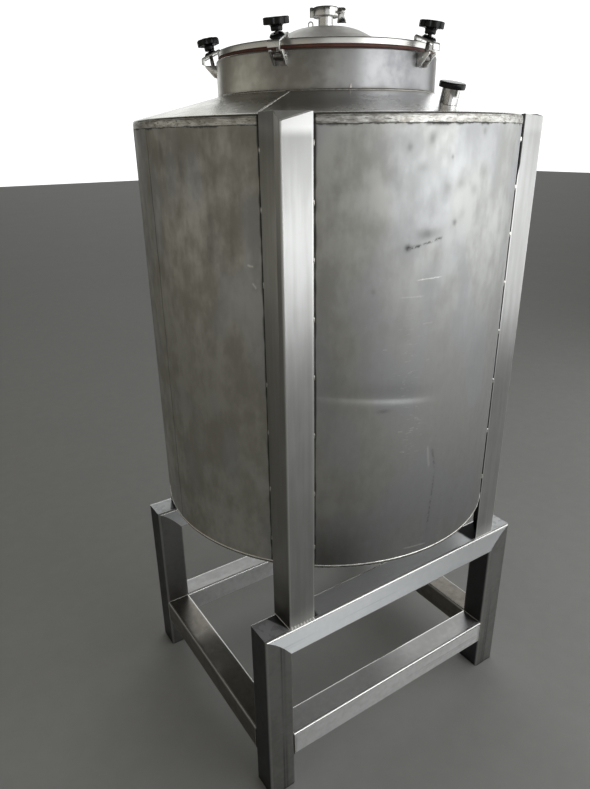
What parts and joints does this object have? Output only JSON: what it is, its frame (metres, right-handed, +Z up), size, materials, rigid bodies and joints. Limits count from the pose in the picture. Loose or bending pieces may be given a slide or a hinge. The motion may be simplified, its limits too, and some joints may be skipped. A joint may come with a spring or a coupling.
{
  "type": "vertical storage tank",
  "caption": "Upright cylindrical steel tank with cone roof, clamped manway lid and angle posts, on a welded square-tube stand.",
  "frame": {"origin": "middle of the stand at floor level, on the axis of the tank", "axes": "+Z up, +X to the right and +Y to the back, seen from the front portal of the stand"},
  "size_m": [1, 1, 2.066],
  "materials": {
    "stand_steel": "mill stainless, dull, bright on the bends",
    "post_steel": "mill stainless, dull",
    "shell_steel": "mottled mill stainless, soft vertical blotches",
    "roof_steel": "mill stainless, ground weld at the edge",
    "neck_steel": "mill stainless",
    "lid_steel": "brushed stainless, polished rim",
    "fitting_steel": "polished stainless",
    "clamp_steel": "satin stainless",
    "seal_rubber": "matt red-brown silicone",
    "knob_plastic": "black, glossy",
    "cap_plastic": "black, glossy"
  },
  "bodies": {
    "tank": {"leg_front_left": "stand_steel", "leg_front_right": "stand_steel", "leg_back_left": "stand_steel", "leg_back_right": "stand_steel", "top_rail_front": "stand_steel", "top_rail_back": "stand_steel", "low_rail_front": "stand_steel", "low_rail_back": "stand_steel", "low_rail_left": "stand_steel", "low_rail_right": "stand_steel", "post_front_left": "post_steel", "post_front_right": "post_steel", "post_back_left": "post_steel", "post_back_right": "post_steel", "shell": "shell_steel", "roof_cone": "roof_steel", "bottom_head": "shell_steel", "manway_neck": "neck_steel", "drain_ferrule": "fitting_steel", "lid_gasket": "seal_rubber", "lid": "lid_steel", "lid_pipe": "fitting_steel", "lid_pipe_cap": "fitting_steel", "lid_pipe_clamp": "fitting_steel", "lid_pipe_wing_nut": "fitting_steel", "lid_eye": "fitting_steel", "roof_nozzle": "fitting_steel", "roof_nozzle_cap": "cap_plastic", "clamp_1_bracket": "clamp_steel", "clamp_2_bracket": "clamp_steel", "clamp_3_bracket": "clamp_steel", "clamp_4_bracket": "clamp_steel", "clamp_5_bracket": "clamp_steel"},
    "clamp_1_swing": {"clamp_1_bolt": "clamp_steel", "clamp_1_arm": "clamp_steel"},
    "clamp_1_turn": {"clamp_1_knob": "knob_plastic"},
    "clamp_2_swing": {"clamp_2_bolt": "clamp_steel", "clamp_2_arm": "clamp_steel"},
    "clamp_2_turn": {"clamp_2_knob": "knob_plastic"},
    "clamp_3_swing": {"clamp_3_bolt": "clamp_steel", "clamp_3_arm": "clamp_steel"},
    "clamp_3_turn": {"clamp_3_knob": "knob_plastic"},
    "clamp_4_swing": {"clamp_4_bolt": "clamp_steel", "clamp_4_arm": "clamp_steel"},
    "clamp_4_turn": {"clamp_4_knob": "knob_plastic"},
    "clamp_5_swing": {"clamp_5_bolt": "clamp_steel", "clamp_5_arm": "clamp_steel"},
    "clamp_5_turn": {"clamp_5_knob": "knob_plastic"}
  },
  "joints": [
    {"name": "clamp_1_hinge", "type": "hinge", "parent": "tank", "child": "clamp_1_swing", "pos_m": [-0.24474, -0.16199, 1.931], "axis": [0.5519, -0.8339, 0], "range_deg": [0, 100]},
    {"name": "clamp_1_screw", "type": "hinge", "parent": "clamp_1_swing", "child": "clamp_1_turn", "pos_m": [-0.24474, -0.16199, 1.931], "axis": [-0.1448, -0.0958, 0.9848], "range_deg": [0, 720]},
    {"name": "clamp_2_hinge", "type": "hinge", "parent": "tank", "child": "clamp_2_swing", "pos_m": [0.07843, -0.28283, 1.931], "axis": [0.9636, 0.2672, 0], "range_deg": [0, 100]},
    {"name": "clamp_2_screw", "type": "hinge", "parent": "clamp_2_swing", "child": "clamp_2_turn", "pos_m": [0.07843, -0.28283, 1.931], "axis": [0.0464, -0.1673, 0.9848], "range_deg": [0, 720]},
    {"name": "clamp_3_hinge", "type": "hinge", "parent": "tank", "child": "clamp_3_swing", "pos_m": [0.29322, -0.0128, 1.931], "axis": [0.0436, 0.999, 0], "range_deg": [0, 100]},
    {"name": "clamp_3_screw", "type": "hinge", "parent": "clamp_3_swing", "child": "clamp_3_turn", "pos_m": [0.29322, -0.0128, 1.931], "axis": [0.1735, -0.0076, 0.9848], "range_deg": [0, 720]},
    {"name": "clamp_4_hinge", "type": "hinge", "parent": "tank", "child": "clamp_4_swing", "pos_m": [0.10279, 0.27491, 1.931], "axis": [-0.9367, 0.3502, 0], "range_deg": [0, 100]},
    {"name": "clamp_4_screw", "type": "hinge", "parent": "clamp_4_swing", "child": "clamp_4_turn", "pos_m": [0.10279, 0.27491, 1.931], "axis": [0.0608, 0.1627, 0.9848], "range_deg": [0, 720]},
    {"name": "clamp_5_hinge", "type": "hinge", "parent": "tank", "child": "clamp_5_swing", "pos_m": [-0.2297, 0.18271, 1.931], "axis": [-0.6225, -0.7826, 0], "range_deg": [0, 100]},
    {"name": "clamp_5_screw", "type": "hinge", "parent": "clamp_5_swing", "child": "clamp_5_turn", "pos_m": [-0.2297, 0.18271, 1.931], "axis": [-0.1359, 0.1081, 0.9848], "range_deg": [0, 720]}
  ]
}
